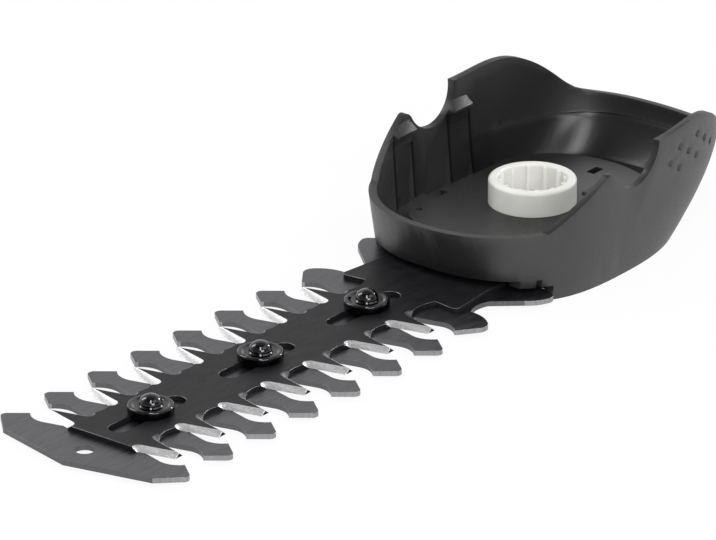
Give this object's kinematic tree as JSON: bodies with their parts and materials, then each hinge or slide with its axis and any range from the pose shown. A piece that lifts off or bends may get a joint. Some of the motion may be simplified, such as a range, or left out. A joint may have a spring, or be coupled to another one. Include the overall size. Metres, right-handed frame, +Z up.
{
  "type": "shrub shear blade",
  "caption": "Toothed shear blade: a cutter plate slides on a fixed comb plate below a plastic bowl with a splined drive ring.",
  "frame": {"origin": "where the drive ring's axis meets the comb plate's underside", "axes": "+X along the blade to its tip, +Z up out of the open bowl, Y across the teeth"},
  "size_m": [0.2208, 0.063, 0.0317],
  "materials": {
    "comb_steel": "satin",
    "coated_steel": "satin",
    "stud_steel": "gloss",
    "housing_plastic": "fine texture",
    "ring_nylon": "satin",
    "bright_steel": "satin"
  },
  "bodies": {
    "base": {"comb_blade": "comb_steel", "housing": "housing_plastic", "guide_stud_1": "stud_steel", "guide_stud_2": "stud_steel", "guide_stud_3": "stud_steel", "stud_washer_1": "stud_steel", "stud_washer_2": "stud_steel", "stud_washer_3": "stud_steel", "housing_screw_1": "bright_steel", "housing_screw_2": "bright_steel", "housing_screw_3": "bright_steel", "housing_screw_4": "bright_steel", "housing_screw_5": "bright_steel"},
    "cutter": {"cutter_blade": "coated_steel"},
    "drive": {"drive_ring": "ring_nylon", "crank_pin": "bright_steel", "crank_roller": "bright_steel"}
  },
  "joints": [
    {"name": "cutter_slide", "type": "slide", "parent": "base", "child": "cutter", "axis": [1, 0, 0], "range_m": [-0.0075, 0.0075]},
    {"name": "drive_turn", "type": "hinge", "parent": "base", "child": "drive", "pos_m": [0, 0, 0.01], "axis": [0, 0, 1], "range_deg": [-90, 90]}
  ],
  "couplings": [
    {"joint": "drive_turn", "follows": "cutter_slide", "rad_per_m": -209.4}
  ]
}
